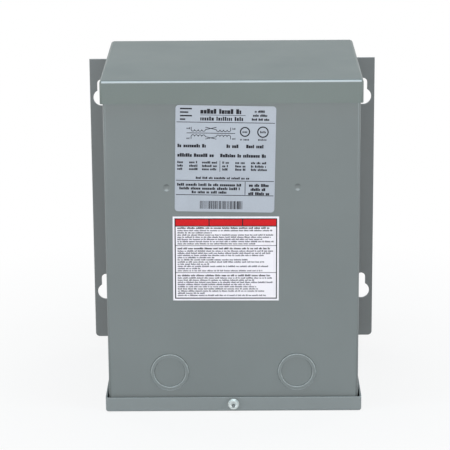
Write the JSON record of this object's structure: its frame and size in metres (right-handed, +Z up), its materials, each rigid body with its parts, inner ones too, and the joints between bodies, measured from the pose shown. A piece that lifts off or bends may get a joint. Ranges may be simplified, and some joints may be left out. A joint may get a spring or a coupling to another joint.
{
  "type": "buck-boost transformer",
  "caption": "Wall-mounted dry-type transformer in a grey steel case, with keyhole ears, capped lid, screwed bottom cover, knockouts and two blank labels.",
  "frame": {"origin": "bottom centre of the whole object, on the underside of the bottom cover", "axes": "+X to the right seen from the front, +Y towards the wall, +Z up; the front faces -Y"},
  "size_m": [0.2758, 0.1952, 0.309],
  "materials": {
    "case_paint": "semi-gloss grey enamel",
    "lid_paint": "semi-gloss grey enamel",
    "plate_paint": "semi-gloss grey enamel",
    "cover_paint": "semi-gloss grey enamel",
    "potting": "matt black resin with sand",
    "zinc": "bright zinc plate",
    "plain_steel": "plain steel",
    "label_silver": "satin silver film",
    "label_white": "gloss white film"
  },
  "bodies": {
    "root": {"case_wrap": "case_paint", "lid": "lid_paint", "back_plate": "plate_paint", "bottom_cover": "cover_paint", "potted_core": "potting", "cover_screw": "zinc", "weld_nut": "plain_steel", "rating_plate": "label_silver", "notice_label": "label_white", "front_left_knockout_ring": "case_paint", "front_left_knockout_slug": "case_paint", "front_right_knockout_ring": "case_paint", "front_right_knockout_slug": "case_paint", "rear_left_knockout_ring": "plate_paint", "rear_left_knockout_slug": "plate_paint", "rear_right_knockout_ring": "plate_paint", "rear_right_knockout_slug": "plate_paint"}
  },
  "joints": []
}
